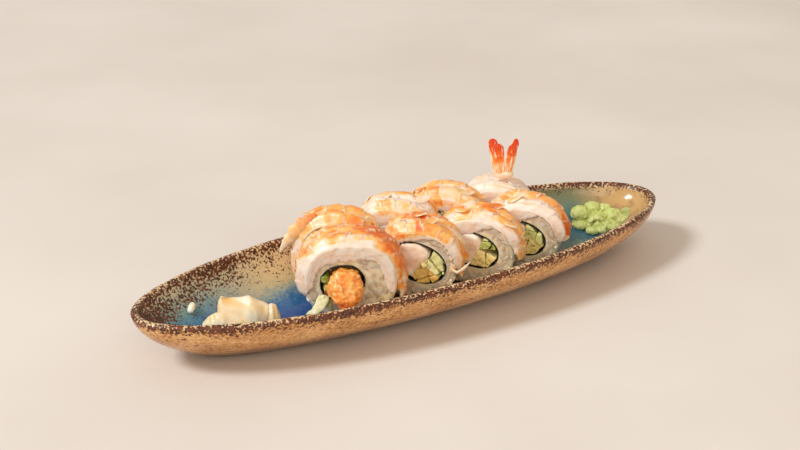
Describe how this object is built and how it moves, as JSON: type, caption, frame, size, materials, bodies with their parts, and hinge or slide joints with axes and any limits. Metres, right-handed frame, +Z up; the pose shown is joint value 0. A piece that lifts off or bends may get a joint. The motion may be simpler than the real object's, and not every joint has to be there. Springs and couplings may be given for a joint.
{
  "type": "uramaki rolls on a dish",
  "caption": "Cut inside-out sushi rolls topped with cooked shrimp, set across a long boat-shaped stoneware dish with pickled ginger and wasabi at its ends.",
  "frame": {"origin": "middle of the dish's base, on the surface that it stands on", "axes": "+X along the dish towards the wasabi, +Y across it towards the back row of rolls, +Z up"},
  "size_m": [0.3596, 0.1196, 0.0813],
  "materials": {
    "glaze": "speckled stoneware glaze, deep blue on the floor, tan and brown towards the rim, glossy",
    "rice": "cooked sushi rice, off-white, slightly translucent and moist",
    "nori": "nori sheet, near black green, dull",
    "topping": "cooked shrimp laid in plates, orange with white margins, moist",
    "flesh": "cooked shrimp flesh, pinkish white",
    "avocado": "avocado, yellow green, soft",
    "cucumber": "cucumber, green, moist",
    "batter": "fried batter, orange brown, crisp and rough",
    "lettuce": "lettuce rib, pale green, moist",
    "shell": "cooked shrimp tail shell, red orange, glossy",
    "ginger": "pickled ginger, cream, thin and moist",
    "wasabi": "wasabi paste, light green, matt"
  },
  "bodies": {
    "root": {"back_1_avocado": "avocado", "back_1_cucumber": "cucumber", "back_1_nori": "nori", "back_1_rice": "rice", "back_1_shrimp": "flesh", "back_1_topping": "topping", "back_2_avocado": "avocado", "back_2_cucumber": "cucumber", "back_2_nori": "nori", "back_2_rice": "rice", "back_2_shrimp": "flesh", "back_2_topping": "topping", "back_3_avocado": "avocado", "back_3_cucumber": "cucumber", "back_3_nori": "nori", "back_3_rice": "rice", "back_3_shrimp": "flesh", "back_3_topping": "topping", "back_4_avocado": "avocado", "back_4_cucumber": "cucumber", "back_4_nori": "nori", "back_4_rice": "rice", "back_4_shrimp": "flesh", "back_4_tail": "shell", "back_4_topping": "topping", "dish": "glaze", "front_1_avocado": "avocado", "front_1_cucumber": "cucumber", "front_1_fried_shrimp": "batter", "front_1_lettuce": "lettuce", "front_1_nori": "nori", "front_1_rice": "rice", "front_1_topping": "topping", "front_2_avocado": "avocado", "front_2_cucumber": "cucumber", "front_2_nori": "nori", "front_2_rice": "rice", "front_2_shrimp": "flesh", "front_2_topping": "topping", "front_3_avocado": "avocado", "front_3_cucumber": "cucumber", "front_3_nori": "nori", "front_3_rice": "rice", "front_3_shrimp": "flesh", "front_3_topping": "topping", "front_4_avocado": "avocado", "front_4_cucumber": "cucumber", "front_4_nori": "nori", "front_4_rice": "rice", "front_4_shrimp": "flesh", "front_4_topping": "topping", "ginger_left": "ginger", "ginger_main": "ginger", "ginger_right": "ginger", "loose_grain": "rice", "wasabi": "wasabi"}
  },
  "joints": []
}
